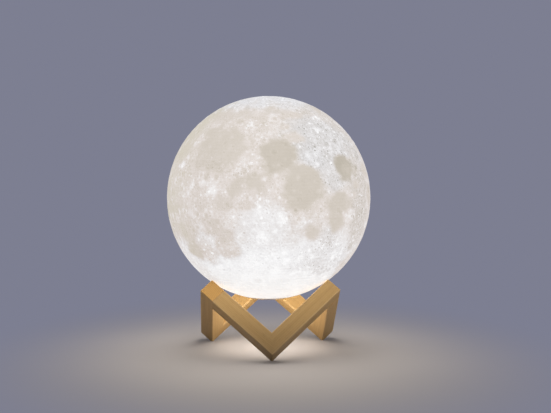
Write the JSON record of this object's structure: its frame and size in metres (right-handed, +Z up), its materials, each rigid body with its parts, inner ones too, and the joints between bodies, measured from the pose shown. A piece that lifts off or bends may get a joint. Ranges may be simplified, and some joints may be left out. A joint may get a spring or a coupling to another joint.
{
  "type": "moon lamp",
  "caption": "Glowing moon-relief globe with a twist-in light unit, resting on a low stand of square wooden bars joined as Vs along the edges of a tipped cube.",
  "frame": {"origin": "on the surface that the stand rests on, below the centre of the globe", "axes": "+Z up; the front V's foot points along -Y, and its long bar rises towards +X"},
  "size_m": [0.15, 0.15, 0.1871],
  "materials": {
    "wood": "fine straight grain, eased edges, clear matt varnish",
    "dowel_wood": "plain round dowel",
    "moon_shell": "printed in fine layers, translucent, with relief",
    "white_plastic": "moulded",
    "collar_plastic": "moulded",
    "touch_metal": "brushed",
    "steel": "plated",
    "socket_metal": "pressed",
    "black_plastic": "moulded",
    "clear_plastic": "polished, clear",
    "board": "lacquered",
    "gold_contact": "gilt",
    "light_board": "white lacquer on metal",
    "light_chip": "potted",
    "cell_foil": "foil",
    "foam": "soft foam",
    "red_lead": "insulated",
    "black_lead": "insulated",
    "frosted_plastic": "frosted, translucent"
  },
  "bodies": {
    "stand": {"front_long_bar": "wood", "front_short_bar": "wood", "front_foot_dowel": "dowel_wood", "right_long_bar": "wood", "right_short_bar": "wood", "right_foot_dowel": "dowel_wood", "left_long_bar": "wood", "left_short_bar": "wood", "left_foot_dowel": "dowel_wood", "front_left_corner_dowel": "dowel_wood", "front_right_corner_dowel": "dowel_wood", "back_corner_dowel": "dowel_wood"},
    "globe": {"moon_globe": "moon_shell", "globe_collar": "collar_plastic"},
    "light_unit": {"base_cap": "white_plastic", "touch_ring": "touch_metal", "cap_screws": "steel", "light_housing": "white_plastic", "socket_shell": "socket_metal", "socket_tongue": "black_plastic", "control_board": "board", "light_pipe": "clear_plastic", "indicator_led": "clear_plastic", "contact_barrel": "gold_contact", "contact_plunger": "gold_contact", "control_chips": "black_plastic", "power_inductor": "black_plastic", "battery_connector": "white_plastic", "battery_cell": "cell_foil", "battery_cushions": "foam", "battery_lead_plus": "red_lead", "battery_lead_minus": "black_lead", "led_board": "light_board", "led_chips": "light_chip", "led_screws": "steel", "led_leads": "black_lead", "diffuser_dome": "frosted_plastic"}
  },
  "joints": [
    {"name": "lamp_lift", "type": "slide", "parent": "stand", "child": "globe", "axis": [0, 0, 1], "range_m": [0, 0.06]},
    {"name": "base_twist", "type": "hinge", "parent": "globe", "child": "light_unit", "pos_m": [0, 0, 0.04], "axis": [0, 0, -1], "range_deg": [0, 35]}
  ]
}
